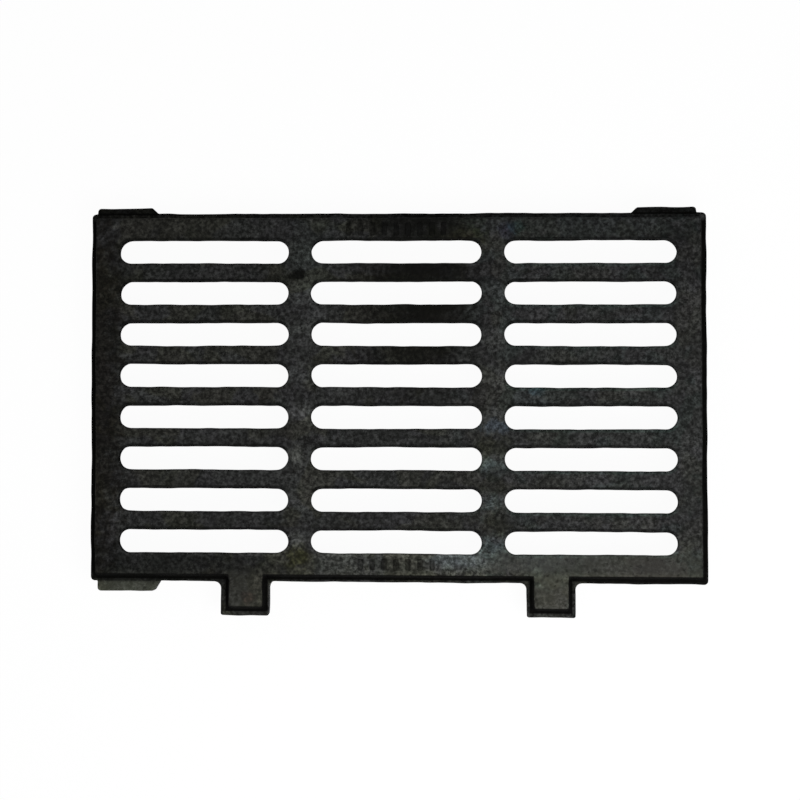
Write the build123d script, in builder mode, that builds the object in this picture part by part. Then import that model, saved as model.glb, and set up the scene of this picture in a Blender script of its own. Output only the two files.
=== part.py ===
import math
import os

from build123d import *

# Hinged drain grate, one iron casting. Millimetres, road face up, hinge side towards -Y.

# Plate, measured at the ledge that runs round it just below the road face
plate_length = 600
plate_depth = 360
plate_corner = 4
casting_depth = 40
ledge_drop = 10
ledge_width = 6.6
deck_lean = 12
deck_corner = 4
side_draft = 2

# Slots in columns and rows, as many rows as the plate takes between its rims
column_count = 3
strip_width = 22.3
side_rim = 29.9
end_rim = 28.3
bar_width = 18.2
slot_width = 22
slot_draft = 8
edge_break = 1.4

# Underside: deck over open cells, bars and ribs between them, skirt round all
deck_thickness = 14
rib_width = 9
skirt_width = 10
cell_cut = 3
seat_height = 2

# Hinge tongues on the front edge, each with a raised block that carries on the deck
tongue_centres = (-148.5, 149)
block_shifts = (2.2, 0)
tongue_width = 47
tongue_reach = 33
tongue_thickness = 20
tip_cut = 1.5
tongue_root = 6
toe_radius = 8
block_width = 32.6
block_setback = 8.4

# Corner lugs at ledge level: side in X, side in Y, reach, gap to the plate's side, length
lugs = ((-1, 1, 5.6, 5.4, 60.4), (1, 1, 5.6, 9.4, 63), (-1, -1, 10, 6.6, 61.6))
lug_slope = 6
lug_thickness = 14

# Rows of plain raised bars on the rims: side in Y, length of the row, height of its bars
marks = ((1, 97, 13), (-1, 74, 11))
mark_width = 5
mark_pitch = 11.5
mark_rise = 1.2

# Derived sizes
ledge_level = casting_depth - ledge_drop
deck_underside = casting_depth - deck_thickness
rear_reach = max(lug[2] for lug in lugs if lug[1] > 0)
plate_y = (tongue_reach - rear_reach) / 2
front_edge = plate_y - plate_depth / 2
wall_lean = ledge_drop * math.tan(math.radians(deck_lean))
deck_inset = ledge_width - wall_lean
slope = math.tan(math.radians(slot_draft))
edge_gain = edge_break * slope
skirt_inset = ledge_level * math.tan(math.radians(side_draft)) + skirt_width
cell_drop = deck_underside * slope
slot_length = (plate_length - 2 * side_rim - (column_count - 1) * strip_width) / column_count
column_pitch = slot_length + strip_width
row_pitch = slot_width + bar_width
row_count = 1 + math.floor((plate_depth - 2 * end_rim - slot_width) / row_pitch + 0.01)
columns = [(i - (column_count - 1) / 2) * column_pitch for i in range(column_count)]
rows = [(j - (row_count - 1) / 2) * row_pitch for j in range(row_count)]
bar_side = slot_width / 2 - edge_gain + deck_thickness * slope
rib_side = (column_pitch - rib_width) / 2 - cell_drop


def cell_span(index, centres, side, skirt_line):
    # Middle and width of a cell just under the deck; outer cells reach the skirt
    low = -skirt_line if index == 0 else centres[index] - side
    high = skirt_line if index == len(centres) - 1 else centres[index] + side
    return (low + high) / 2, high - low


def upright_edges(part, bottom, top):
    # Edges that run between two levels, found by the height of their middle
    middle = (bottom + top) / 2
    return part.edges().filter_by_position(Axis.Z, middle - 0.1, middle + 0.1)


with BuildPart() as grate:
    # Body below the ledge, a little narrower towards the underside
    with BuildSketch(Plane.XY.offset(ledge_level)):
        with Locations((0, plate_y)):
            Rectangle(plate_length, plate_depth)
    extrude(amount=-ledge_level, taper=side_draft)
    fillet(upright_edges(grate, 0, ledge_level), plate_corner)

    # Hinge tongues, with round roots where they leave the plate
    with BuildSketch(Plane.XY.offset(ledge_level)) as tongues:
        for centre in tongue_centres:
            with Locations((centre, front_edge)):
                Rectangle(tongue_width, 2 * tongue_reach)
        chamfer(tongues.vertices().group_by(Axis.Y)[0], tip_cut)
    extrude(amount=-tongue_thickness, taper=side_draft)
    fillet(upright_edges(grate, ledge_level - tongue_thickness, ledge_level).group_by(Axis.Y)[-1], tongue_root)

    # Round toe under the end of each tongue
    with BuildSketch(Plane.YZ):
        with Locations((front_edge - tongue_reach, ledge_level - tongue_thickness)):
            Rectangle(toe_radius, toe_radius, align=Align.MIN)
        with Locations((front_edge - tongue_reach + toe_radius, ledge_level - tongue_thickness + toe_radius)):
            Circle(toe_radius, mode=Mode.SUBTRACT)
    extrude(amount=plate_length / 2, both=True, mode=Mode.SUBTRACT)

    # Corner lugs, square towards the corner and sloped on the other end
    for side_x, side_y, reach, gap, length in lugs:
        outer = side_x * (plate_length / 2 - gap)
        inner = side_x * (plate_length / 2 - gap - length)
        edge = plate_y + side_y * plate_depth / 2
        with BuildSketch(Plane.XY.offset(ledge_level)):
            with BuildLine():
                Polyline(
                    (outer, edge - side_y * skirt_width),
                    (outer, edge + side_y * reach),
                    (inner + side_x * lug_slope, edge + side_y * reach),
                    (inner, edge),
                    (inner, edge - side_y * skirt_width),
                    close=True,
                )
            make_face()
        extrude(amount=-lug_thickness, taper=side_draft)

    # Raised deck and the two blocks, with leaning walls
    with BuildSketch(Plane.XY.offset(ledge_level)) as deck:
        with Locations((0, plate_y)):
            Rectangle(plate_length - 2 * deck_inset, plate_depth - 2 * deck_inset)
        for centre, shift in zip(tongue_centres, block_shifts):
            with Locations((centre + shift, front_edge)):
                Rectangle(block_width + 2 * wall_lean, 2 * (tongue_reach - block_setback + wall_lean))
        chamfer(deck.vertices().group_by(Axis.Y)[0], deck_corner)
    extrude(amount=ledge_drop, taper=deck_lean)
    corners = upright_edges(grate, ledge_level, casting_depth).sort_by_distance((0, plate_y, casting_depth))[-4:]
    fillet(corners, deck_corner)

    # Slots through the deck, and wider cells from the deck down to the underside
    with BuildSketch(Plane.XY.offset(casting_depth)):
        with Locations((0, plate_y)):
            with GridLocations(column_pitch, row_pitch, column_count, row_count):
                SlotOverall(slot_length - 2 * edge_gain, slot_width - 2 * edge_gain)
    extrude(amount=-deck_thickness, taper=-slot_draft, mode=Mode.SUBTRACT)
    with BuildSketch(Plane.XY.offset(deck_underside)) as cells:
        for i in range(column_count):
            for j in range(row_count):
                middle_x, span_x = cell_span(i, columns, rib_side, plate_length / 2 - skirt_inset - cell_drop)
                middle_y, span_y = cell_span(j, rows, bar_side, plate_depth / 2 - skirt_inset - cell_drop)
                with Locations((middle_x, plate_y + middle_y)):
                    Rectangle(span_x, span_y)
        chamfer(cells.vertices(), cell_cut)
    extrude(amount=-deck_underside, taper=-slot_draft, mode=Mode.SUBTRACT)

    # Ribs and bars stop short of the seat, so only the skirt bears on the frame
    with BuildSketch(Plane.XY):
        with Locations((0, plate_y)):
            Rectangle(plate_length - 2 * skirt_inset, plate_depth - 2 * skirt_inset)
    extrude(amount=seat_height, mode=Mode.SUBTRACT)

    # Broken edges round the slots and the road face
    road_face = grate.faces().sort_by(Axis.Z)[-1]
    chamfer(road_face.edges(), edge_break)

    # Plain raised bars on the front and rear rims
    rim_middle = (rows[-1] + slot_width / 2 + plate_depth / 2 - ledge_width) / 2
    for side, length, height in marks:
        count = 1 + math.floor((length - mark_width) / mark_pitch + 0.01)
        with BuildSketch(Plane.XY.offset(casting_depth)):
            with Locations((0, plate_y + side * rim_middle)):
                with GridLocations(mark_pitch, 0, count, 1):
                    Rectangle(mark_width, height)
        extrude(amount=mark_rise, taper=20)

grate.part.label = "grate"
os.makedirs("parts", exist_ok=True)
export_step(grate.part, "parts/grate.step")
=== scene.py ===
import math

import bpy
import numpy as np
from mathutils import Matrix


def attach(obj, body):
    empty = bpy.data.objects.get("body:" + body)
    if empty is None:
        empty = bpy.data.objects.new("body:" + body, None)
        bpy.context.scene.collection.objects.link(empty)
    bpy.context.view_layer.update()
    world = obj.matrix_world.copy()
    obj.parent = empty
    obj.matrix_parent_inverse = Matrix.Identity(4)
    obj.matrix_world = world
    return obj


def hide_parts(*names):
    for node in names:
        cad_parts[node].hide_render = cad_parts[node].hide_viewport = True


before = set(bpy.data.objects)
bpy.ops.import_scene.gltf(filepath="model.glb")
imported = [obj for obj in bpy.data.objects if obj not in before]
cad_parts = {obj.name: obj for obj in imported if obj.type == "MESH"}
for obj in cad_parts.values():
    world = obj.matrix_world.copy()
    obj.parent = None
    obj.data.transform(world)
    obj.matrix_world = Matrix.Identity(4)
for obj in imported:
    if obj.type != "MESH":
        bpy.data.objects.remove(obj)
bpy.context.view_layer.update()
print("frame loaded")

# Camera over the plate, from the photograph: places in metres, angles in radians
cameraSet = {
    "place": (0.0780, -0.0954, 1.640),
    "turn": (0.03016, 0.04606, 0.00539),
    "focalPixels": 1665.3,
    "imagePixels": 800,
    "sensor": 36.0,
    "principalDown": 60,
    "farthest": 50,
}


def addCamera(s):
    data = bpy.data.cameras.new("camera")
    data.sensor_width = s["sensor"]
    data.lens = s["focalPixels"] * s["sensor"] / s["imagePixels"]
    data.shift_y = s["principalDown"] / s["imagePixels"]
    data.clip_end = s["farthest"]
    camera = bpy.data.objects.new("camera", data)
    camera.location = s["place"]
    camera.rotation_euler = s["turn"]
    bpy.context.scene.collection.objects.link(camera)
    bpy.context.scene.camera = camera


def feed(tree, socket, value):
    # Another node's output is linked to the socket, and anything else becomes its value
    if isinstance(value, bpy.types.NodeSocket):
        tree.links.new(value, socket)
    else:
        socket.default_value = value


def addNode(tree, kind, inputs=None, **settings):
    node = tree.nodes.new(kind)
    for name, value in settings.items():
        setattr(node, name, value)
    for name, value in (inputs or {}).items():
        feed(tree, node.inputs[name], value)
    return node


# Sizes of the casting in millimetres, heights counted from the underside of the skirt
castingSet = {
    "plateLength": 600.0, "plateDepth": 360.0, "plateY": 13.7, "plateCorner": 4.0,
    "topLevel": 40.0, "ledgeLevel": 30.0, "ledgeWidth": 6.6,
    "deckLean": 12.0, "sideDraft": 2.0, "deckCorner": 4.0,
    "columns": 3, "rows": 8, "columnPitch": 187.5, "rowPitch": 40.2,
    "slotLength": 165.2, "slotWidth": 22.0, "slotDraft": 8.0, "fieldMargin": 2.0, "fieldCorner": 3.0,
    "deckUnderside": 26.0, "ribWidth": 9.0, "ribLevel": 2.0, "skirtWidth": 10.0, "cellCorner": 3.5,
    "slotEdge": 2.0, "deckEdge": 1.8, "ledgeEdge": 1.6, "lowerEdge": 1.4,
    "tongueCentres": (-148.5, 149.0), "blockShifts": (2.2, 0.0), "tongueWidth": 47.0, "tongueReach": 33.0,
    "tongueUnderside": 10.0, "tongueRoot": 6.0, "tongueCorner": 2.0, "toeRadius": 8.0,
    "blockWidth": 32.6, "blockSetback": 8.4, "blockCorner": 5.0,
    # side in X, side in Y, reach, outer end, inner end
    "lugs": ((-1, -1, 10.0, 293.4, 231.8), (1, 1, 5.6, 290.6, 227.6), (-1, 1, 5.6, 294.6, 234.2)),
    "lugSlope": 6.0, "lugUnderside": 16.0, "lugCorner": 3.5,
    "spacing": 4.2, "edgeSteps": 5, "sharpAngle": 50.0,
    # steps round a cell: a slot's straight side, on from it to the corner, half the corner, up the end
    "slotSteps": 36, "toCorner": 3, "halfCorner": 2, "upEnd": 8,
    # waves of the cast skin: how many, shortest and longest, and the height up to which they grow
    "skinWaves": (26, 14.0, 70.0), "slowWaves": (20, 60.0, 180.0), "skinFade": 6.0,
    "unevenness": 0.16, "outOfTrue": 0.12, "skew": 2.1, "seed": 11,
}

# Rows of plain raised bars: side in Y, number of bars, height of the bars along Y
barSet = {
    "rows": ((1, 9, 13.0), (-1, 7, 11.0)),
    "width": 5.0, "pitch": 11.5, "rise": 1.2, "line": 162.55, "round": 1.2,
}


def roundedEdge(top, radius, lean, steps):
    # Quarter round between a level top and a wall that moves out by tan(lean) per unit down:
    # out = centre + radius cos(a), height = centre + radius sin(a), for a from 90 degrees down to the lean
    low = math.radians(lean)
    centreHeight = top - radius
    touch = centreHeight + radius * math.sin(low)
    centreOut = (top - touch) * math.tan(low) - radius * math.cos(low)
    angle = np.linspace(math.pi / 2, low, steps + 1)
    return centreOut + radius * np.cos(angle), centreHeight + radius * np.sin(angle)


def roundedOutline(corners, arcSteps, lineSteps):
    # Closed outline through the corners (x, y, radius), each one an arc that touches both of its sides.
    # A corner on a straight line takes its radius as the half length that its steps cover.
    corners = np.asarray(corners, float)
    place, radius = corners[:, :2], corners[:, 2]
    ahead = np.roll(place, -1, 0) - place
    ahead /= np.linalg.norm(ahead, axis=1, keepdims=True)
    behind = np.roll(ahead, 1, 0)
    turn = np.arctan2(behind[:, 0] * ahead[:, 1] - behind[:, 1] * ahead[:, 0], (behind * ahead).sum(1))
    reach = np.where(abs(turn) < 1e-3, radius, radius * np.tan(abs(turn) / 2))
    start, end = place - behind * reach[:, None], place + ahead * reach[:, None]
    points, normals = [], []
    for k in range(len(place)):
        share = np.arange(arcSteps[k])[:, None] / arcSteps[k]
        angle = turn[k] * share
        out = np.array([behind[k, 1], -behind[k, 0]])
        normal = np.hstack([out[0] * np.cos(angle) - out[1] * np.sin(angle),
                            out[0] * np.sin(angle) + out[1] * np.cos(angle)])
        if abs(turn[k]) < 1e-3:
            points.append(start[k] + (end[k] - start[k]) * share)
        else:
            side = math.copysign(radius[k], turn[k])
            points.append(start[k] - side * out + side * normal)
        normals.append(normal)
        share = np.arange(lineSteps[k])[:, None] / lineSteps[k]
        following = start[(k + 1) % len(place)]
        points.append(end[k] + (following - end[k]) * share)
        normals.append(np.repeat([[ahead[k, 1], -ahead[k, 0]]], lineSteps[k], 0))
    return np.concatenate(points), np.concatenate(normals)


def rimCorners(s):
    # Corners of four outlines that match point for point: casting, plain plate, foot of the deck, slot field.
    # Beside a lug or tongue the inner three run straight, and their offsets there only spread the mesh evenly.
    halfX, halfY, middle = s["plateLength"] / 2, s["plateDepth"] / 2, s["plateY"]
    deckInset = s["ledgeWidth"] - (s["topLevel"] - s["ledgeLevel"]) * math.tan(math.radians(s["deckLean"]))
    fieldX = s["columns"] * s["columnPitch"] / 2 + s["fieldMargin"]
    fieldY = s["rows"] * s["rowPitch"] / 2 + s["fieldMargin"]
    blockHalf = s["blockWidth"] / 2 + s["ledgeWidth"] - deckInset
    front = middle - halfY
    tip = front - s["tongueReach"]
    blockTip = tip + s["blockSetback"] - (s["ledgeWidth"] - deckInset)
    deckFront, fieldFront = front + deckInset, middle - fieldY
    table = []

    def plateCorner(sideX, sideY):
        table.append(((sideX * halfX, middle + sideY * halfY, s["plateCorner"]),
                      (sideX * halfX, middle + sideY * halfY, s["plateCorner"]),
                      (sideX * (halfX - deckInset), middle + sideY * (halfY - deckInset), s["deckCorner"]),
                      (sideX * fieldX, middle + sideY * fieldY, s["fieldCorner"]), 4, 0, -1))

    def lug(sideX, sideY, reach, outer, inner):
        edge, deck, field = (middle + sideY * d for d in (halfY, halfY - deckInset, fieldY))
        turn = math.atan2(reach, s["lugSlope"])
        foot = 2 * math.tan(turn / 2)
        beyond = edge + sideY * reach
        slope = inner + s["lugSlope"]
        rows = [
            ((outer, edge, 1), (outer - 0.6, edge, 1.6), (outer - 4.4, deck, 0.6), (outer - 16, field, 0.5), 2),
            ((outer, beyond, s["lugCorner"]), (outer - 5, edge, 1.2), (outer - 9, deck, 2),
             (outer - 20, field, 1.5), 4),
            ((slope, beyond, s["lugCorner"]), (slope + 2.5, edge, 1.2), (inner + 8.4, deck, 1.5),
             (inner + 4.4, field, 1.5), 3),
            ((inner, edge, 2), (inner - foot + 2.2, edge, 2.2), (inner + 1.4, deck, 1.2),
             (inner - 2.6, field, 1.2), 2),
        ]
        if sideX * sideY < 0:
            rows.reverse()
        for place, row in enumerate(rows):
            table.append(tuple((sideX * x, y, r) for x, y, r in row[:4]) + (row[4], 1, place))

    def tongue(centre, shift):
        half, block = s["tongueWidth"] / 2, centre + shift
        for place, (side, isRoot) in enumerate(((-1, True), (-1, False), (1, False), (1, True))):
            table.append((
                (centre + side * half, front if isRoot else tip,
                 s["tongueRoot"] if isRoot else s["tongueCorner"]),
                (centre + side * (half + 1.5 if isRoot else half - 13.5), front, 4.5 if isRoot else 2),
                (block + side * blockHalf, deckFront if isRoot else blockTip,
                 2.5 if isRoot else s["blockCorner"]),
                (block + side * (14 if isRoot else 7), fieldFront, 2.5 if isRoot else 1.5),
                4 if isRoot else 3, 2, place))

    frontLeft, rearRight, rearLeft = s["lugs"]
    plateCorner(-1, -1)
    lug(*frontLeft)
    for centre, shift in zip(s["tongueCentres"], s["blockShifts"]):
        tongue(centre, shift)
    plateCorner(1, -1)
    plateCorner(1, 1)
    lug(*rearRight)
    lug(*rearLeft)
    plateCorner(-1, 1)
    return table


def rimRings(s):
    # The rim's profile carried round the four outlines, from the slot field out, down and back to the skirt
    table = rimCorners(s)
    arcSteps = [row[4] for row in table]
    firstOutline = np.array([row[0] for row in table])
    length = np.linalg.norm(np.roll(firstOutline[:, :2], -1, 0) - firstOutline[:, :2], axis=1)
    length -= firstOutline[:, 2] + np.roll(firstOutline[:, 2], -1)
    lineSteps = np.maximum(1, np.ceil(length / s["spacing"])).astype(int)
    (casting, castingOut), (plate, plateOut), (deck, deckOut), (field, fieldOut) = (
        roundedOutline([row[i] for row in table], arcSteps, lineSteps) for i in range(4))

    # How far each point belongs to a lug (kind 1) or a tongue (kind 2), growing along the first corner of each
    own, kind = [], []
    for row, arc, line in zip(table, arcSteps, lineSteps):
        share = np.arange(arc) / arc
        grow = {-1: 0 * share, 0: share, 3: 1 - share}.get(row[6], 1 + 0 * share)
        isOn = 0 <= row[6] < 3
        own += [grow, np.full(line, float(isOn))]
        kind += [np.full(arc, row[5]), np.full(line, row[5] * isOn)]
    own, kind = np.concatenate(own), np.concatenate(kind)
    edge = s["lowerEdge"] * own * np.where(kind == 1, 0.5, 1)

    top, ledge = s["topLevel"], s["ledgeLevel"]
    deckTan, sideTan = math.tan(math.radians(s["deckLean"])), math.tan(math.radians(s["sideDraft"]))
    tip = s["plateY"] - s["plateDepth"] / 2 - s["tongueReach"]

    def toe(y):
        # Quarter round under the tongue's end
        away = np.clip(s["toeRadius"] - (y - tip), 0, s["toeRadius"])
        return s["tongueUnderside"] + s["toeRadius"] - np.sqrt(s["toeRadius"] ** 2 - away ** 2)

    def ring(outline, out, shift, height):
        shift = np.broadcast_to(shift, len(outline))[:, None]
        return np.column_stack([outline + out * shift, np.broadcast_to(height, len(outline))])

    out, height = roundedEdge(top, s["deckEdge"], s["deckLean"], s["edgeSteps"])
    out = out - (top - ledge) * deckTan
    deckRings = [ring(deck, deckOut, o, h) for o, h in zip(out, height)]
    inner = ring(field, fieldOut, 0, top)
    rings = [inner] + [inner + (deckRings[0] - inner) * share for share in (0.25, 0.5, 0.78)] + deckRings
    # Down the deck's wall and round its foot: height, and how far out of the wall's line
    footSteps = ((34.5, 0), (31.4, 0), (30.5, 0.12), (30.12, 0.45), (ledge, 1.1))
    rings += [ring(deck, deckOut, extra - (h - ledge) * deckTan, h) for h, extra in footSteps]
    out, height = roundedEdge(ledge, s["ledgeEdge"], -s["sideDraft"], s["edgeSteps"])
    edgeRings = [ring(casting, castingOut, o, h) for o, h in zip(out, height)]
    rings += [(rings[-1] + edgeRings[0]) / 2] + edgeRings

    # Down the side to the underside of a tongue or lug, and in below it to the plain plate
    lowest = np.where(kind == 1, s["lugUnderside"], s["tongueUnderside"])
    sideDown = 7
    rings.append(ring(casting, castingOut, -sideDown * sideTan, ledge - sideDown))
    foot = ring(casting, castingOut, -(ledge - lowest) * sideTan, lowest)
    isTongue = (kind == 2) & (own > 0)
    foot[:, 2] = np.where(isTongue, toe(foot[:, 1]), foot[:, 2])
    inward = foot.copy()
    inward[:, :2] -= castingOut * edge[:, None]
    inward[:, 2] = np.where(isTongue, toe(inward[:, 1]), inward[:, 2])
    foot[:, 2] += edge
    bulge = 0.2 * own  # brings the middle ring of the lower edge out to a quarter round
    between = (foot + inward) / 2
    between[:, :2] += castingOut * bulge[:, None]
    between[:, 2] -= bulge
    wall = ring(plate, plateOut, -(ledge - lowest) * sideTan, lowest)
    rings += [foot, between, inward]
    for share in (0.1, 0.2, 0.3, 0.55, 1.0):
        under = inward + (wall - inward) * share
        under[:, 2] = np.where(isTongue, toe(under[:, 1]), under[:, 2])
        rings.append(under if share < 1 else wall)
    skirtSteps = ((0, s["lowerEdge"]), (0.4, 0.4), (s["lowerEdge"], 0))
    rings += [ring(plate, plateOut, -ledge * sideTan - inset, h) for inset, h in skirtSteps]
    return rings


def cellSteps(s):
    # Points of a cell's ring: along a slot's straight side, on from there to the end, and up the end
    return s["slotSteps"], s["toCorner"] + s["halfCorner"], 2 * s["halfCorner"] + s["upEnd"]


def makeCells(s):
    # Each slot is a set of rings round one middle: road face, rounded edge, leaning wall, deck's underside,
    # cell wall, rounded foot and underside of the bars. A ring is straight sides and two ends.
    slope = math.tan(math.radians(s["slotDraft"]))
    out, height = roundedEdge(s["topLevel"], s["slotEdge"], -s["slotDraft"], s["edgeSteps"])
    throat = s["slotWidth"] / 2
    half = throat + out.max() - out
    straight = (s["slotLength"] - s["slotWidth"]) / 2
    under, foot = s["deckUnderside"], s["ribLevel"]
    midLevel, wallLevels = 32, (under, 18, 10, foot + s["lowerEdge"])  # heights of the rings down the walls
    halfUnder = half[-1] + (height[-1] - under) * slope
    halfMid = half[-1] + (height[-1] - midLevel) * slope
    skirt = s["ledgeLevel"] * math.tan(math.radians(s["sideDraft"])) + s["skirtWidth"]
    toSkirtX = s["plateLength"] / 2 - skirt - (s["columns"] - 1) / 2 * s["columnPitch"]
    toSkirtY = s["plateDepth"] / 2 - skirt - (s["rows"] - 1) / 2 * s["rowPitch"]
    ribX = (s["columnPitch"] - s["ribWidth"]) / 2 - foot * slope
    barY = halfUnder + (under - foot) * slope
    halfPitchX, halfPitchY = s["columnPitch"] / 2, s["rowPitch"] / 2
    corner = s["cellCorner"]
    n, across, upright = cellSteps(s)
    toCorner, halfCorner, halfWay = s["toCorner"], s["halfCorner"], n + 2 * across + upright
    run = np.linspace(-straight, straight, n, endpoint=False)

    def parted(*stops):
        # Even steps between stops given in turn as value, count, value, ..., without the last value
        return np.concatenate([np.linspace(stops[i], stops[i + 2], stops[i + 1], endpoint=False)
                               for i in range(0, len(stops) - 2, 2)])

    def boxRing(lowX, highX, lowY, highY, arcX, arcY, height):
        # Counter-clockwise from the left end of the lower side; arcX and arcY mark where a corner starts
        rightX = parted(straight, toCorner, arcX[1], halfCorner, highX)
        leftX = parted(-straight, toCorner, arcX[0], halfCorner, lowX)
        upY = parted(lowY, halfCorner, arcY[0], s["upEnd"], arcY[1], halfCorner, highY)
        backRight, backLeft = np.r_[rightX[1:], highX][::-1], np.r_[leftX[1:], lowX][::-1]
        x = np.concatenate([run, rightX, np.full(len(upY), highX), backRight,
                            -run, leftX, np.full(len(upY), lowX), backLeft])
        y = np.concatenate([np.full(n + across, lowY), upY, np.full(halfWay - upright, highY),
                            np.r_[upY[1:], highY][::-1], np.full(across, lowY)])
        return np.column_stack([x, y, np.full(len(x), height)])

    def stadiumRing(halfWidth, height):
        angle = np.linspace(-np.pi / 2, np.pi / 2, halfWay - n, endpoint=False)
        x = np.concatenate([run, straight + halfWidth * np.cos(angle),
                            -run, -straight - halfWidth * np.cos(angle)])
        y = np.concatenate([np.full(len(run), -halfWidth), halfWidth * np.sin(angle),
                            np.full(len(run), halfWidth), -halfWidth * np.sin(angle)])
        return np.column_stack([x, y, np.full(len(x), height)])

    cornerX, cornerY = (-85.0, 85.0), (-12.5, 12.5)  # where the corners' steps start on the road face
    sign = np.array([-1, 1, -1, 1])
    pieces, borders = [], {}
    for column in range(s["columns"]):
        for row in range(s["rows"]):
            first, last = column == 0, column == s["columns"] - 1
            front, rear = row == 0, row == s["rows"] - 1
            wall = np.array([-toSkirtX if first else -ribX, toSkirtX if last else ribX,
                             -toSkirtY if front else -barY, toSkirtY if rear else barY])
            edge = np.array([-toSkirtX if first else -halfPitchX, toSkirtX if last else halfPitchX,
                             -toSkirtY if front else -halfPitchY, toSkirtY if rear else halfPitchY])
            arc = wall - sign * corner
            roadFace = boxRing(-halfPitchX, halfPitchX, -halfPitchY, halfPitchY,
                               cornerX, cornerY, s["topLevel"])
            lip = stadiumRing(half[0], s["topLevel"])
            rings = [roadFace, roadFace + (lip - roadFace) * 0.35, roadFace + (lip - roadFace) * 0.7]
            rings += [stadiumRing(w, h) for w, h in zip(half, height)]
            rings += [stadiumRing(halfMid, midLevel), stadiumRing(halfUnder, under)]

            def wallRing(level):
                # A box whose corners' points are put on a circle of the corner radius
                span = wall - sign * (level - foot) * slope
                left, right, low, high = span - sign * corner
                ring = boxRing(*span, (left, right), (low, high), level)
                steps = np.arange(2 * halfCorner + 1)
                one, two = n + toCorner, n + across + upright - halfCorner
                for start, middleX, middleY, turn in (
                        (one, right, low, -90), (two, right, high, 0),
                        (halfWay + one, left, high, 90), (halfWay + two, left, low, 180)):
                    angle = np.radians(turn + steps * 45 / halfCorner)
                    ring[start + steps, 0] = middleX + corner * np.cos(angle)
                    ring[start + steps, 1] = middleY + corner * np.sin(angle)
                return ring

            rings += [wallRing(level) for level in wallLevels]
            wallFoot = wallRing(foot)
            border = boxRing(*edge, arc[:2], arc[2:], foot)
            rounded = wallFoot + (border - wallFoot) * 0.1
            rounded[:, 2] = foot + 0.4
            rings += [rounded, wallFoot + (border - wallFoot) * 0.35, border]
            centre = np.array([(column - (s["columns"] - 1) / 2) * s["columnPitch"],
                               s["plateY"] + (row - (s["rows"] - 1) / 2) * s["rowPitch"], 0])
            pieces.append([ring + centre for ring in rings])
            borders[column, row] = (roadFace + centre, border + centre)
    return pieces, borders


def fieldLoop(s, borders, which):
    # The outer sides of the outer cells, joined counter-clockwise from the front left corner
    n, across, upright = cellSteps(s)
    halfWay = n + 2 * across + upright
    last, rear = s["columns"] - 1, s["rows"] - 1
    lower = np.r_[2 * halfWay - across:2 * halfWay, 0:n + across]
    right = np.arange(upright) + n + across
    upper = np.arange(n + across + upright, halfWay + n + across)
    left = right + halfWay
    parts = [borders[c, 0][which][lower] for c in range(last + 1)]
    parts += [borders[last, r][which][right] for r in range(rear + 1)]
    parts += [borders[c, rear][which][upper] for c in range(last, -1, -1)]
    parts += [borders[0, r][which][left] for r in range(rear, -1, -1)]
    return np.concatenate(parts)


def strips(rings, flip=False):
    # Quads between each ring and the next, as two triangles split on the shorter diagonal
    rings = np.stack(rings)
    levels, count = rings.shape[:2]
    index = np.arange(levels * count).reshape(levels, count)
    a, b = index[:-1].ravel(), index[1:].ravel()
    d, c = np.roll(index[:-1], -1, 1).ravel(), np.roll(index[1:], -1, 1).ravel()
    if flip:
        b, d = d, b
    points = rings.reshape(-1, 3)
    acrossAC, acrossBD = (np.linalg.norm(points[i] - points[j], axis=1) for i, j in ((a, c), (b, d)))
    short = (acrossAC <= acrossBD)[:, None]
    one = np.where(short, np.stack([a, b, c], 1), np.stack([a, b, d], 1))
    two = np.where(short, np.stack([a, c, d], 1), np.stack([b, c, d], 1))
    return points, np.concatenate([one, two])


def zipLoops(inner, outer, middleY):
    # Triangles between two loops with different numbers of points, taken in order of their place round the
    # middle: on a square round it, 0 to 4 counter-clockwise from the lower left corner
    def place(loop):
        x, y = loop[:, 0], loop[:, 1] - middleY
        u, v = x / np.abs(x).max(), y / np.abs(y).max()
        sizeU, sizeV = np.maximum(np.abs(u), 1e-9), np.maximum(np.abs(v), 1e-9)
        steep = sizeU > sizeV
        return np.where(~steep & (v < 0), 0.5 + 0.5 * u / sizeV,
                        np.where(steep & (u > 0), 1.5 + 0.5 * v / sizeU,
                                 np.where(~steep, 2.5 - 0.5 * u / sizeV, 3.5 - 0.5 * v / sizeU))) % 4

    placeA, placeB = place(inner), place(outer)
    orderA, orderB = np.argsort(placeA, kind="stable"), np.argsort(placeB, kind="stable")
    countA, countB = len(inner), len(outer)
    following = np.concatenate([placeA[orderA][1:], [4.0], placeB[orderB][1:], [4.0]])
    isA = np.argsort(following, kind="stable") < countA
    doneA, doneB = np.cumsum(isA) - isA, np.cumsum(~isA) - ~isA
    a, b = orderA[doneA % countA], orderB[doneB % countB] + countA
    third = np.where(isA, orderA[(doneA + 1) % countA], orderB[(doneB + 1) % countB] + countA)
    return np.concatenate([inner, outer]), np.stack([a, b, third], 1)


def barShell(s, b, x, y, height):
    # A small closed bar: rounded box outlines at growing heights, with a middle point above and below
    hx, hy, r = b["width"] / 2, height / 2, b["round"]
    corners = [(-hx, -hy, r), (hx, -hy, r), (hx, hy, r), (-hx, hy, r)]
    outline, out = roundedOutline(corners, [3] * 4, [1, 3, 1, 3])
    top = s["topLevel"]
    steps = ((-0.6, 0.7), (0.05, 0.6), (0.3, 0.1), (0.8, -0.15), (1.08, -0.5), (b["rise"], -1.0))
    rings = [np.column_stack([outline + out * shift, np.full(len(outline), top + h)]) for h, shift in steps]
    rings = [rings[0] * (0, 0, 1)] + rings + [rings[-1] * (0, 0, 1)]
    return [ring + (x, y, 0) for ring in rings[::-1]]


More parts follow.
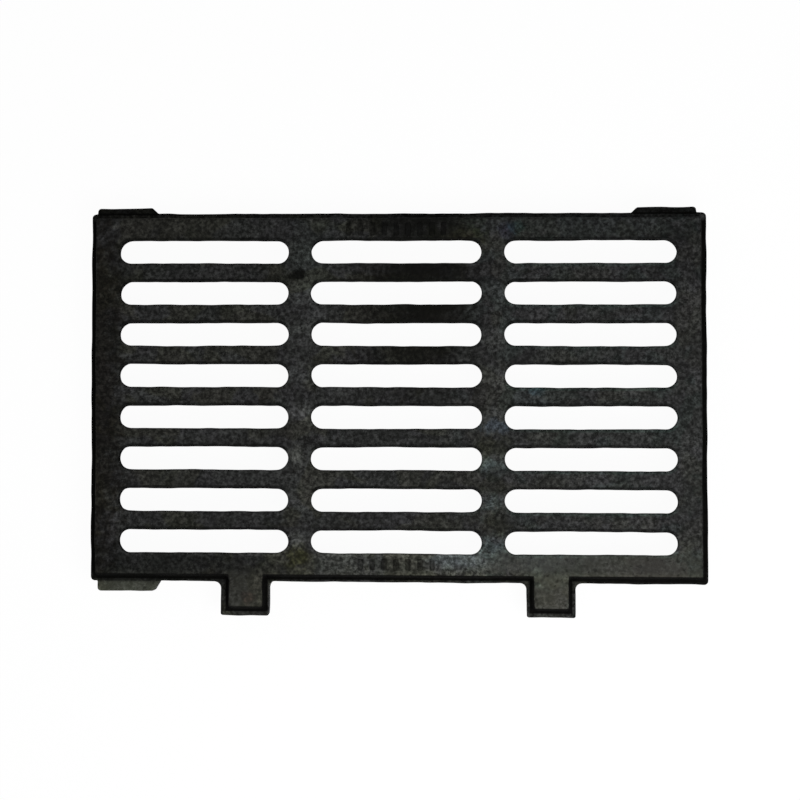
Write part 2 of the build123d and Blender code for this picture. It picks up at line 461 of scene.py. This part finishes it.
def buildCasting(s, b):
    pieces, borders = makeCells(s)
    parts = [strips(rings, flip=True) for rings in pieces]
    rings = rimRings(s)
    parts.append(strips(rings))
    parts.append(zipLoops(fieldLoop(s, borders, 0), rings[0], s["plateY"]))
    skirtTop = fieldLoop(s, borders, 1)
    skirtFoot = skirtTop * (1, 1, 0)
    parts.append(zipLoops(rings[-1], skirtFoot, s["plateY"]))
    parts.append(strips([skirtFoot, skirtTop]))
    for side, count, height in b["rows"]:
        for i in range(count):
            x = (i - (count - 1) / 2) * b["pitch"]
            parts.append(strips(barShell(s, b, x, s["plateY"] + side * b["line"], height)))
    start, points, faces = 0, [], []
    for p, f in parts:
        points.append(p)
        faces.append(f + start)
        start += len(p)
    points, faces = np.concatenate(points), np.concatenate(faces)
    # Points in the same place become one, and faces that shrank to a line are dropped
    first, same = np.unique(np.round(points, 3), axis=0, return_index=True, return_inverse=True)[1:]
    points, faces = points[first], same.ravel()[faces]
    whole = (faces[:, 0] != faces[:, 1]) & (faces[:, 1] != faces[:, 2]) & (faces[:, 2] != faces[:, 0])
    return points, faces[whole]


def castSkin(points, s):
    # Unevenness of a sand casting: a sum of plane waves with seeded directions, sin(direction . place + phase),
    # and slower ones that only move things sideways, by the same amount at every height
    rng = np.random.default_rng(s["seed"])
    full = 2 * np.pi
    count, shortest, longest = s["skinWaves"]
    shift = np.zeros_like(points)
    for axis in range(3):
        direction = rng.normal(size=(count, 3))
        direction /= np.linalg.norm(direction, axis=1, keepdims=True)
        wave = direction * (full / rng.uniform(shortest, longest, (count, 1)))
        phase = rng.uniform(0, full, count)
        shift[:, axis] = np.sin(points @ wave.T + phase).sum(1) / math.sqrt(count / 2)
    fade = np.clip(points[:, 2:] / s["skinFade"], 0, 1)
    count, shortest, longest = s["slowWaves"]
    sideways = np.zeros_like(points)
    for axis in range(2):
        heading = rng.uniform(0, full, count)
        wave = np.stack([np.cos(heading), np.sin(heading)]) * (full / rng.uniform(shortest, longest, count))
        phase = rng.uniform(0, full, count)
        sideways[:, axis] = np.sin(points[:, :2] @ wave + phase).sum(1) / math.sqrt(count / 2)
    points = points + (shift * s["unevenness"] + sideways * s["outOfTrue"]) * fade
    # Out of square as in the photo: x' = k (x - skew (y - yMiddle) / depth) and y' likewise shrunk about the
    # plate's middle, where k = 1 - skew / length keeps the corners in the true plate's box
    small = 1 - s["skew"] / s["plateLength"]
    away = points[:, 1] - s["plateY"]
    points[:, 0] = small * (points[:, 0] - s["skew"] * away / s["plateDepth"])
    points[:, 1] = small * away + s["plateY"]
    return points


def addCasting(s, bars):
    points, faces = buildCasting(s, bars)
    points = castSkin(points, s)
    low = (-s["plateLength"] / 2, s["plateY"] - s["plateDepth"] / 2 - s["tongueReach"], 0)
    high = (s["plateLength"] / 2, -low[1], s["topLevel"] + bars["rise"])
    points = np.clip(points, low, high) / 1000
    mesh = bpy.data.meshes.new("drainGrate")
    mesh.vertices.add(len(points))
    mesh.vertices.foreach_set("co", points.ravel())
    mesh.loops.add(faces.size)
    mesh.loops.foreach_set("vertex_index", faces.ravel())
    mesh.polygons.add(len(faces))
    mesh.polygons.foreach_set("loop_start", np.arange(0, faces.size, 3))
    mesh.polygons.foreach_set("loop_total", np.full(len(faces), 3))
    mesh.update(calc_edges=True)
    mesh.validate()
    mesh.shade_smooth()
    mesh.set_sharp_from_angle(angle=math.radians(s["sharpAngle"]))
    casting = bpy.data.objects.new("drainGrate", mesh)
    bpy.context.scene.collection.objects.link(casting)
    print("casting:", len(faces), "triangles")
    return casting


# Shared effects, each a group of nodes that reads the place on the casting in metres


def newGroup(name, inputs, outputs):
    tree = bpy.data.node_groups.new(name, "ShaderNodeTree")
    for title, kind, value in inputs:
        socket = tree.interface.new_socket(name=title, in_out="INPUT", socket_type="NodeSocket" + kind)
        socket.default_value = value
    for title, kind in outputs:
        tree.interface.new_socket(name=title, in_out="OUTPUT", socket_type="NodeSocket" + kind)
    return tree, tree.nodes.new("NodeGroupInput").outputs, tree.nodes.new("NodeGroupOutput")


def mathNode(tree, operation, first, second=0.0, third=0.0):
    return addNode(tree, "ShaderNodeMath", {0: first, 1: second, 2: third}, operation=operation).outputs[0]


def stretch(tree, value, start, end, atStart=0.0, atEnd=1.0, kind="SMOOTHSTEP"):
    inputs = {"Value": value, "From Min": start, "From Max": end, "To Min": atStart, "To Max": atEnd}
    return addNode(tree, "ShaderNodeMapRange", inputs, interpolation_type=kind).outputs[0]


def mixColour(tree, share, first, second, blend="MIX"):
    # In a colour Mix node the share is input 0, the colours are 6 and 7, and the result is output 2
    inputs = {0: share, 6: first, 7: second}
    return addNode(tree, "ShaderNodeMix", inputs, data_type="RGBA", blend_type=blend).outputs[2]


def noise(tree, place, scale, detail=2.0, roughness=0.5, distortion=0.0):
    inputs = {"Vector": place, "Scale": scale, "Detail": detail, "Roughness": roughness,
              "Distortion": distortion}
    return addNode(tree, "ShaderNodeTexNoise", inputs).outputs["Fac"]


def splitPlace(tree, place):
    return addNode(tree, "ShaderNodeSeparateXYZ", {"Vector": place}).outputs


# Grain: detail and roughness of each noise (and distortion of the pits), the scale of the coarse one and the
# pits next to the fine one, the noise levels between which grain and pits show, and their heights
grainSet = {
    "fine": (3.0, 0.75), "coarse": (2.0, 0.5), "pits": (1.0, 0.5, 0.4), "coarseScale": 0.3, "pitScale": 0.8,
    "grainLevels": (0.36, 0.66), "pitLevels": (0.38, 0.28), "coarseHeight": 0.8, "pitDepth": 0.5,
}


def makeGrainGroup(s):
    # Sand-cast skin: fine grain and pits as masks, and a height
    tree, given, result = newGroup("sandGrain", [("Place", "Vector", (0, 0, 0)), ("Size", "Float", 0.0026)],
                                   [("Mask", "Float"), ("Pits", "Float"), ("Height", "Float")])
    place, scale = given["Place"], mathNode(tree, "DIVIDE", 1.0, given["Size"])
    fine = noise(tree, place, scale, *s["fine"])
    coarse = noise(tree, place, mathNode(tree, "MULTIPLY", scale, s["coarseScale"]), *s["coarse"])
    pits = noise(tree, place, mathNode(tree, "MULTIPLY", scale, s["pitScale"]), *s["pits"])
    pitMask = stretch(tree, pits, *s["pitLevels"])
    sunk = mathNode(tree, "MULTIPLY_ADD", pitMask, -s["pitDepth"], fine)
    feed(tree, result.inputs["Mask"], stretch(tree, fine, *s["grainLevels"], kind="LINEAR"))
    feed(tree, result.inputs["Pits"], pitMask)
    feed(tree, result.inputs["Height"], mathNode(tree, "MULTIPLY_ADD", coarse, s["coarseHeight"], sunk))
    return tree


def makeSlotGroup(s):
    # Distance from the nearest slot's outline, height across that slot, and how far beyond its straight part
    tree, given, result = newGroup("slotDistance", [("Place", "Vector", (0, 0, 0))],
                                   [("Distance", "Float"), ("Across", "Float"), ("Beyond", "Float")])
    x, y = splitPlace(tree, given["Place"])[:2]
    y = mathNode(tree, "SUBTRACT", y, s["plateY"] / 1000)
    pitchX, pitchY = s["columnPitch"] / 1000, s["rowPitch"] / 1000

    def within(value, count):
        last = (count - 1) / 2
        return mathNode(tree, "MINIMUM", mathNode(tree, "MAXIMUM", value, -last), last)

    # The middle of the nearest slot: whole pitches in X, and half of one more in Y, as the rows are even
    column = within(mathNode(tree, "ROUND", mathNode(tree, "DIVIDE", x, pitchX)), s["columns"])
    row = mathNode(tree, "ADD", mathNode(tree, "FLOOR", mathNode(tree, "DIVIDE", y, pitchY)), 0.5)
    along = mathNode(tree, "MULTIPLY_ADD", column, -pitchX, x)
    across = mathNode(tree, "MULTIPLY_ADD", within(row, s["rows"]), -pitchY, y)
    straight = (s["slotLength"] - s["slotWidth"]) / 2000
    beyond = mathNode(tree, "SUBTRACT", mathNode(tree, "ABSOLUTE", along), straight)
    beyond = mathNode(tree, "MAXIMUM", beyond, 0.0)
    square = mathNode(tree, "MULTIPLY", across, across)
    far = mathNode(tree, "SQRT", mathNode(tree, "MULTIPLY_ADD", beyond, beyond, square))
    distance = mathNode(tree, "SUBTRACT", far, s["slotWidth"] / 2000)
    for title, value in (("Distance", distance), ("Across", across), ("Beyond", beyond)):
        feed(tree, result.inputs[title], value)
    return tree


def makeSpotGroup():
    # A soft-edged patch: 1 inside an ellipse, its edge broken up by a given lumpy value
    tree, given, result = newGroup(
        "softSpot", [("Place", "Vector", (0, 0, 0)), ("Middle", "Vector", (0, 0, 0)),
                     ("Reach", "Vector", (0.05, 0.05, 1)), ("Edge", "Float", 0.3), ("Lump", "Float", 0.0)],
        [("Mask", "Float")])

    def vectorNode(operation, *inputs):
        return addNode(tree, "ShaderNodeVectorMath", dict(enumerate(inputs)), operation=operation).outputs

    away = vectorNode("SUBTRACT", given["Place"], given["Middle"])[0]
    flat = vectorNode("MULTIPLY", vectorNode("DIVIDE", away, given["Reach"])[0], (1, 1, 0))[0]
    length = mathNode(tree, "ADD", vectorNode("LENGTH", flat)["Value"], given["Lump"])
    inner, outer = (mathNode(tree, kind, 1.0, given["Edge"]) for kind in ("SUBTRACT", "ADD"))
    feed(tree, result.inputs["Mask"], stretch(tree, length, inner, outer, 1.0, 0.0))
    return tree


# Foundry black, in metres. A tint multiplies what is below it, so the grain goes on through it.
ironSet = {
    # the third colour, near black, is painted shade on the step and the road face's front edge, and also the
    # pits' black
    "black": (0.0066, 0.0068, 0.0064), "grey": (0.0432, 0.0444, 0.0434), "shadeAndPitBlack": (0.0012, 0.0012, 0.0010),
    "roughness": 0.56, "grainGloss": 0.12, "stepRougher": 0.4, "specular": 0.03,
    "bumpDepth": 0.0008, "bumpStrength": 0.8,
    "grainSize": 0.0039, "grainPower": 1.5, "pitShare": 0.4,
    # noise: scale, detail, roughness and, where given, distortion
    "lumpNoise": (130.0, 3.0, 0.6), "lumpGain": 3.0,
    "blotchNoise": (34.0, 4.0, 0.65), "blotchShare": (0.6, 1.25),
    # faint broad tints: tint, noise scale, noise level from which it shows, share at the left and the right
    "broadTints": (
        ((1.01, 1.0, 0.86), 21.0, 0.50, (1.0, 0.45)),  # olive
        ((1.0, 0.975, 1.02), 26.0, 0.46, (1.0, 1.0)),  # violet
        ((0.93, 1.02, 1.0), 31.0, 0.50, (0.2, 1.0)),  # teal
    ),
    "tintNoise": (2.0, 0.55, 0.6), "tintSoft": 0.08,
    # road face and blocks, as the step's distances need them
    "deckHalf": (0.2955, 0.17553), "blockMiddles": (-0.1463, 0.149), "blockHalf": 0.01843,
    "blockTip": -0.1930, "blockStart": -0.1, "frontShift": 0.0014,
    # the step's black, painted shade on its wall and ledge: how much of it lip, rear ledge and rear lugs take
    # off, and how much stays at its foot
    "stepShadeShare": 0.97, "paleShare": 0.9, "lipShare": 0.12, "rearLugShare": 0.22, "footShare": 0.25,
    "ragged": 0.0012, "rimShadeShare": 0.98, "shadedEdgeShare": (0.6, 1.0),
    # soft changes: where each starts and ends
    "bands": {
        "blotch": (0.3, 0.7), "rightSide": (0.0, 0.12), "shadedEdgeBroken": (0.35, 0.55),
        "strip": (0.006, 0.012), "waist": (0.013, 0.006), "middlePart": (0.14, 0.12),
        # the bars' edges: painted shade on the hinge side, then painted highlight on the rear side
        "shadedEdgeNear": (0.0038, 0.0020), "shadedEdgeSide": (0.006, 0.009),
        "litEdgeNear": (0.0040, 0.0022), "litEdgeSide": (-0.006, -0.009), "rightEdgeHighlight": (0.05, 0.15),
        "frontEdgeWearAndHighlight": (-0.132, -0.136), "patchHeight": (0.022, 0.029), "raisedBar": (0.0403, 0.0408),
        "stepTop": (0.0398, 0.0386), "roadFace": (0.0386, 0.0398), "stepFoot": (0.0262, 0.0288),
        "front": (-0.150, -0.158), "lipEnd": (0.185, 0.18), "lip": (0.0016, 0.0030),
        "lugX": (-0.22, -0.235), "lugY": (-0.1655, -0.168), "lugZ": (0.026, 0.029),
        "rear": (0.185, 0.187), "rearEnd": (0.1942, 0.1936), "rearLug": (0.1936, 0.1942),
        "rearLedge": (0.0034, 0.0024), "tongueX": (-0.20, -0.18), "tongueY": (-0.1655, -0.169),
        "blockY": (-0.152, -0.164), "rightBlock": (0.0, 0.02),
        # the last two bands place the painted shade line on the road face's front edge
        "rimShadeLine": (-0.0024, -0.0012), "rimHeight": (0.0384, 0.0390),
    },
    "tints": {
        # tints of the bars' edges: painted shade on the hinge side, painted highlight on the rear side, with
        # wear at the front
        "waist": (1.35, 1.37, 1.35), "low": (0.26, 0.26, 0.26), "rightEdgeHighlight": (1.15, 1.35, 1.28),
        "frontEdgeWearAndHighlight": (1.6, 1.6, 1.6), "raisedBar": (0.42, 0.42, 0.41), "lip": (0.72, 0.72, 0.70),
        # the lug tint paints light on the front lug's lit top
        "tongue": (1.5, 1.5, 1.45), "lug": (3.9, 3.95, 3.65), "block": (1.45, 1.43, 1.32),
        "rightBlock": (1.2, 1.2, 1.16),
    },
    # patches placed one by one: middle, reach, soft edge, raggedness, tint
    "patches": (
        ((0.0, -0.1475), (0.125, 0.014), 0.5, 0.8, (1.65, 1.68, 1.58)),  # paler ground round the front bars
        ((0.215, -0.152), (0.13, 0.018), 0.5, 0.8, (1.30, 1.31, 1.21)),
        # painted light, the next three: darker at the left, brighter at the right
        ((-0.19, 0.14), (0.13, 0.05), 0.7, 0.6, (0.80, 0.80, 0.78)),
        ((-0.17, -0.125), (0.10, 0.03), 0.7, 0.6, (0.84, 0.84, 0.82)),
        ((0.21, -0.03), (0.12, 0.13), 0.7, 0.6, (1.14, 1.15, 1.14)),
        ((0.062, -0.1435), (0.026, 0.0075), 0.6, 0.6, (1.75, 1.95, 2.1)),
        # painted shade, darker at the front left
        ((-0.215, -0.152), (0.10, 0.024), 0.4, 0.6, (0.55, 0.56, 0.54)),
        ((-0.292, 0.02), (0.022, 0.19), 0.5, 1.0, (0.42, 0.39, 0.34)),  # left rim, browner
        ((0.18, 0.178), (0.12, 0.012), 0.6, 1.0, (0.85, 0.93, 0.90)),
        ((0.0952, -0.0156), (0.0145, 0.006), 0.5, 1.2, (1.5, 1.7, 2.1)),  # bare spots down the right strip
        ((0.0886, -0.0513), (0.010, 0.006), 0.5, 1.2, (1.9, 2.1, 2.2)),
        ((0.0926, -0.0879), (0.010, 0.008), 0.5, 1.2, (1.4, 1.6, 1.65)),
        ((0.0930, -0.0350), (0.013, 0.010), 0.5, 0.8, (0.86, 0.86, 0.73)),
        ((0.0930, -0.0720), (0.014, 0.010), 0.5, 0.8, (0.84, 0.84, 0.72)),
        ((0.0930, -0.1100), (0.014, 0.011), 0.5, 0.8, (0.86, 0.86, 0.74)),
        ((0.0927, -0.1312), (0.010, 0.010), 0.5, 1.2, (1.4, 1.55, 1.65)),
        ((-0.0917, -0.0035), (0.010, 0.008), 0.5, 1.2, (1.7, 1.7, 1.7)),  # and down the left strip
        ((-0.0973, -0.0433), (0.006, 0.009), 0.5, 1.2, (2.2, 2.2, 2.1)),
        ((-0.0938, -0.1256), (0.008, 0.008), 0.5, 1.2, (1.9, 1.9, 1.85)),
        ((-0.0947, -0.1430), (0.010, 0.009), 0.5, 0.8, (0.95, 0.95, 0.62)),
        ((0.1370, -0.1549), (0.0045, 0.004), 0.6, 0.8, (2.3, 2.4, 2.3)),
        ((0.1370, -0.1684), (0.0045, 0.003), 0.6, 0.8, (2.3, 2.4, 2.3)),
        ((-0.1440, -0.1811), (0.006, 0.006), 0.5, 0.8, (1.05, 0.80, 0.80)),
        ((0.1345, 0.0192), (0.007, 0.004), 0.5, 0.8, (1.15, 1.42, 1.6)),
        ((0.272, 0.158), (0.034, 0.030), 0.6, 0.8, (0.80, 0.80, 0.80)),
        ((0.1158, 0.1780), (0.008, 0.006), 0.5, 0.8, (0.95, 1.25, 1.25)),
        ((0.1071, 0.1751), (0.008, 0.009), 0.5, 0.8, (1.0, 0.95, 1.25)),
        ((-0.0955, 0.1317), (0.0085, 0.0055), 0.35, 0.5, (0.10, 0.10, 0.09)),
        ((-0.082, 0.150), (0.022, 0.045), 0.6, 0.8, (1.12, 1.18, 1.19)),
        ((-0.2745, 0.1791), (0.003, 0.003), 0.5, 0.5, (2.4, 2.4, 2.3)),
        ((-0.062, 0.112), (0.026, 0.060), 0.7, 0.5, (1.32, 1.32, 1.30)),
        # painted reflection: a smooth blackish patch, and blacker inside it
        ((0.022, 0.120), (0.050, 0.078), 0.85, 0.35, (0.24, 0.24, 0.21)),
        ((0.038, 0.1375), (0.030, 0.006), 0.6, 0.6, (0.5, 0.48, 0.52)),
        ((0.005, 0.1290), (0.030, 0.005), 0.5, 0.8, (0.7, 0.7, 0.55)),
        ((0.030, 0.0980), (0.036, 0.0045), 0.5, 0.8, (0.45, 0.45, 0.38)),
        ((0.030, 0.0890), (0.036, 0.0045), 0.6, 0.6, (0.55, 0.55, 0.50)),
        ((0.012, 0.0540), (0.038, 0.010), 0.8, 0.4, (0.60, 0.60, 0.56)),
        ((0.010, 0.1840), (0.055, 0.005), 0.5, 0.8, (0.45, 0.45, 0.42)),
        ((0.060, 0.1700), (0.030, 0.008), 0.5, 0.8, (0.85, 0.85, 0.62)),
    ),
    # patches with less grain: middle, reach, soft edge, raggedness, colour, share
    "smoothPatches": (
        # the first is the same painted reflection, with less grain
        ((0.024, 0.125), (0.040, 0.078), 0.80, 0.25, (0.0040, 0.0040, 0.0033), 0.5),
        ((0.215, -0.150), (0.095, 0.022), 0.5, 0.8, (0.0305, 0.0312, 0.0255), 0.5),
        ((0.245, -0.155), (0.03, 0.020), 0.5, 0.8, (0.0310, 0.0265, 0.0265), 0.3),
        ((0.149, -0.178), (0.018, 0.022), 0.4, 0.5, (0.0205, 0.0208, 0.0184), 0.5),
        ((0.130, -0.143), (0.050, 0.012), 0.5, 0.8, (0.0400, 0.0405, 0.0400), 0.4),
        ((-0.148, -0.178), (0.020, 0.024), 0.4, 0.5, (0.0180, 0.0183, 0.0160), 0.45),
        ((-0.262, -0.172), (0.036, 0.010), 0.4, 0.5, (0.0220, 0.0230, 0.0195), 0.45),
    ),
}


def makeIron(s, body, grain, slots, spot):
    material = bpy.data.materials.new("foundryBlack")
    material.use_nodes = True
    tree = material.node_tree
    shader = tree.nodes["Principled BSDF"]
    tints, shadeAndPitBlack = s["tints"], (*s["shadeAndPitBlack"], 1)

    def times(first, second):
        return mathNode(tree, "MULTIPLY", first, second)

    def plus(first, second):
        return mathNode(tree, "ADD", first, second)

    def less(first, second):
        return mathNode(tree, "SUBTRACT", first, second)

    def most(first, second):
        return mathNode(tree, "MAXIMUM", first, second)

    def least(first, second):
        return mathNode(tree, "MINIMUM", first, second)

    def size(value):
        return mathNode(tree, "ABSOLUTE", value)

    def band(value, name, atStart=0.0, atEnd=1.0):
        return stretch(tree, value, *s["bands"][name], atStart, atEnd)

    def tinted(colour, share, tint):
        return mixColour(tree, share, colour, (*tint, 1), "MULTIPLY")

    # Place on the true casting, before it was put out of square
    x, y, z = splitPlace(tree, addNode(tree, "ShaderNodeTexCoord").outputs["Object"])
    small = 1 - body["skew"] / body["plateLength"]
    middle = body["plateY"] / 1000
    y = mathNode(tree, "MULTIPLY_ADD", y, 1 / small, middle - middle / small)
    lean = times(less(y, middle), body["skew"] / body["plateDepth"])
    x = mathNode(tree, "MULTIPLY_ADD", x, 1 / small, lean)
    place = addNode(tree, "ShaderNodeCombineXYZ", {"X": x, "Y": y, "Z": z}).outputs["Vector"]

    def group(data, **inputs):
        node = tree.nodes.new("ShaderNodeGroup")
        node.node_tree = data
        for name, value in {"Place": place, **inputs}.items():
            feed(tree, node.inputs[name], value)
        return node.outputs

    skin = group(grain, Size=s["grainSize"])
    near = group(slots)
    lump = times(less(noise(tree, place, *s["lumpNoise"]), 0.5), s["lumpGain"])
    blotch = noise(tree, place, *s["blotchNoise"])

    def patch(centre, reach, soft, ragged):
        return group(spot, Middle=(*centre, 0), Reach=(*reach, 1), Edge=soft, Lump=times(lump, ragged))["Mask"]

    # Grain between black and grey, paler and darker in blotches, with faint tints
    tone = mathNode(tree, "POWER", skin["Mask"], s["grainPower"])
    tone = times(tone, band(blotch, "blotch", *s["blotchShare"]))
    colour = mixColour(tree, tone, (*s["black"], 1), (*s["grey"], 1))
    for tint, scale, level, ends in s["broadTints"]:
        share = noise(tree, place, scale, *s["tintNoise"])
        share = stretch(tree, share, level, level + s["tintSoft"])
        colour = tinted(colour, times(share, band(x, "rightSide", *ends)), tint)

    # Narrow places between the slots' ends are worn paler
    waist = times(band(size(near["Across"]), "waist"), band(near["Beyond"], "strip"))
    colour = tinted(colour, times(waist, band(size(x), "middlePart")), tints["waist"])
    # The bars' edges on the hinge side are darker, as painted shade, and those on the rear side paler at the
    # right, as a painted highlight, and at the front, as wear and painted highlight
    low = times(band(near["Distance"], "shadedEdgeNear"), band(near["Across"], "shadedEdgeSide"))
    colour = tinted(colour, times(low, band(blotch, "shadedEdgeBroken", *s["shadedEdgeShare"])), tints["low"])
    # Painted highlight on the rear-side edges, at the front together with wear
    high = times(band(near["Distance"], "litEdgeNear"), band(near["Across"], "litEdgeSide"))
    colour = tinted(colour, times(high, band(x, "rightEdgeHighlight")), tints["rightEdgeHighlight"])
    colour = tinted(colour, times(high, band(y, "frontEdgeWearAndHighlight")), tints["frontEdgeWearAndHighlight"])

    # Patches, on the road face and not on the underside
    bare = colour
    for centre, reach, soft, ragged, tint in s["patches"]:
        colour = tinted(colour, patch(centre, reach, soft, ragged), tint)
    for centre, reach, soft, ragged, plain, share in s["smoothPatches"]:
        colour = mixColour(tree, times(patch(centre, reach, soft, ragged), share), colour, (*plain, 1))
    colour = mixColour(tree, band(z, "patchHeight"), bare, colour)
    # The plain raised bars are darker than their ground
    colour = tinted(colour, band(z, "raisedBar"), tints["raisedBar"])

    # How far out of the road face a place lies, blocks included, and the same with the front edge further in
    outX, outY = less(size(x), s["deckHalf"][0]), less(size(less(y, middle)), s["deckHalf"][1])
    out, ahead = most(outX, outY), most(outX, plus(outY, s["frontShift"]))
    for blockX in s["blockMiddles"]:
        side = less(size(less(x, blockX)), s["blockHalf"])
        tip = most(less(s["blockTip"], y), less(y, s["blockStart"]))
        out = least(out, most(side, tip))
        ahead = least(ahead, most(side, plus(tip, s["frontShift"])))

    # Step round the road face: black wall and inner ledge as painted shade, with a greyer lip on the hinge side
    # and the tongues where less of it is painted
    below = times(band(z, "stepTop"), band(z, "stepFoot", s["footShare"]))
    isFront = times(band(y, "front"), band(x, "lipEnd", s["lipShare"]))
    isLug = times(times(band(x, "lugX"), band(y, "lugY")), band(z, "lugZ"))
    lip = most(times(band(out, "lip"), isFront), isLug)
    rear = times(band(y, "rear"), band(y, "rearEnd"))
    ragged = mathNode(tree, "MULTIPLY_ADD", lump, s["ragged"], out)
    rearInner = times(rear, band(ragged, "rearLedge"))
    rearLug = times(band(y, "rearLug"), s["rearLugShare"])
    pale = most(most(rearInner, rearLug), lip)
    # The step's painted shade, with less of it where the lip, rear ledge and rear lugs are paler
    black = times(below, mathNode(tree, "MULTIPLY_ADD", pale, -s["paleShare"], s["stepShadeShare"]))
    colour = mixColour(tree, black, colour, shadeAndPitBlack)
    lip = times(below, lip)
    colour = tinted(colour, lip, tints["lip"])
    colour = tinted(colour, times(times(lip, band(y, "tongueY")), band(x, "tongueX")), tints["tongue"])
    # The front lug's top is made paler as painted light, while the rear lugs keep most of the step's painted
    # shade
    colour = tinted(colour, isLug, tints["lug"])
    onBlock = times(band(z, "roadFace"), band(y, "blockY"))
    colour = tinted(colour, onBlock, tints["block"])
    colour = tinted(colour, times(onBlock, band(x, "rightBlock")), tints["rightBlock"])
    # The front edge of the road face is black too, a painted shade line along it
    rimShadeLine = times(band(ahead, "rimShadeLine"), band(y, "front"))
    rimShadeLine = times(rimShadeLine, band(z, "rimHeight", 0.0, s["rimShadeShare"]))
    colour = mixColour(tree, rimShadeLine, colour, shadeAndPitBlack)
    colour = mixColour(tree, times(skin["Pits"], s["pitShare"]), colour, shadeAndPitBlack)
    tree.links.new(colour, shader.inputs["Base Color"])

    roughness = mathNode(tree, "MULTIPLY_ADD", skin["Mask"], -s["grainGloss"], s["roughness"])
    roughness = mathNode(tree, "MULTIPLY_ADD", below, s["stepRougher"], roughness)
    tree.links.new(roughness, shader.inputs["Roughness"])
    shader.inputs["Specular IOR Level"].default_value = s["specular"]
    bump = addNode(tree, "ShaderNodeBump", {"Height": skin["Height"], "Distance": s["bumpDepth"],
                                            "Strength": s["bumpStrength"]})
    tree.links.new(bump.outputs["Normal"], shader.inputs["Normal"])
    return material


# Soft boxes: place, aim, size and strength in watts
lampSet = [
    {"place": (0.52, -0.55, 1.0), "aim": (0.12, -0.08, 0), "size": 0.8, "power": 14},
    {"place": (-1.5, 0.9, 1.6), "aim": (0, 0, 0), "size": 1.6, "power": 10},
    {"place": (-0.9, -1.6, 1.4), "aim": (0, 0, 0), "size": 1.4, "power": 8},
]


def addLamps(lamps):
    for i, s in enumerate(lamps):
        data = bpy.data.lights.new(f"softBox{i + 1}", "AREA")
        data.shape = "SQUARE"
        data.size = s["size"]
        data.energy = s["power"]
        lamp = bpy.data.objects.new(data.name, data)
        place = np.array(s["place"])
        away = place - np.array(s["aim"])
        flat = math.hypot(away[0], away[1])
        lamp.location = place
        lamp.rotation_euler = (math.atan2(flat, away[2]), 0, math.atan2(away[0], -away[1]))
        bpy.context.scene.collection.objects.link(lamp)


# Pale floor and world: what the camera, gloss and glass see is nearly white, and the light stays plain
floorSet = {"size": 12.0, "colour": 0.9, "whiteShare": 0.96, "worldLight": 0.3}


def seenDirectly(tree):
    # 1 for rays from the camera, from gloss or through glass
    rays = addNode(tree, "ShaderNodeLightPath").outputs
    some = mathNode(tree, "MAXIMUM", rays["Is Camera Ray"], rays["Is Glossy Ray"])
    return mathNode(tree, "MAXIMUM", some, rays["Is Transmission Ray"])


def addFloorAndWorld(s):
    half = s["size"] / 2
    mesh = bpy.data.meshes.new("floor")
    corners = [(-half, -half, 0), (half, -half, 0), (half, half, 0), (-half, half, 0)]
    mesh.from_pydata(corners, [], [(0, 1, 2, 3)])
    floor = bpy.data.objects.new("floor", mesh)
    bpy.context.scene.collection.objects.link(floor)
    material = bpy.data.materials.new("paleFloor")
    material.use_nodes = True
    tree = material.node_tree
    tree.nodes.clear()
    colour = (s["colour"],) * 3 + (1,)
    matt = addNode(tree, "ShaderNodeBsdfDiffuse", {"Color": colour})
    white = addNode(tree, "ShaderNodeEmission", {"Color": (1, 1, 1, 1), "Strength": 1.0})
    share = mathNode(tree, "MULTIPLY", seenDirectly(tree), s["whiteShare"])
    mixed = addNode(tree, "ShaderNodeMixShader", {0: share, 1: matt.outputs[0], 2: white.outputs[0]})
    addNode(tree, "ShaderNodeOutputMaterial", {"Surface": mixed.outputs[0]})
    mesh.materials.append(material)

    world = bpy.data.worlds.new("studio")
    bpy.context.scene.world = world
    world.use_nodes = True
    tree = world.node_tree
    tree.nodes.clear()
    strength = stretch(tree, seenDirectly(tree), 0.0, 1.0, s["worldLight"], 1.0, kind="LINEAR")
    sky = addNode(tree, "ShaderNodeBackground", {"Color": (1, 1, 1, 1), "Strength": strength})
    addNode(tree, "ShaderNodeOutputWorld", {"Surface": sky.outputs[0]})


iron = makeIron(ironSet, castingSet, makeGrainGroup(grainSet), makeSlotGroup(castingSet), makeSpotGroup())
print("iron mixed:", len(ironSet["patches"]) + len(ironSet["smoothPatches"]), "patches")
casting = addCasting(castingSet, barSet)
casting.data.materials.append(iron)
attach(casting, "root")
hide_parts("grate")
print("casting dressed")

addCamera(cameraSet)
addLamps(lampSet)
addFloorAndWorld(floorSet)
bpy.context.scene.view_settings.view_transform = "Standard"
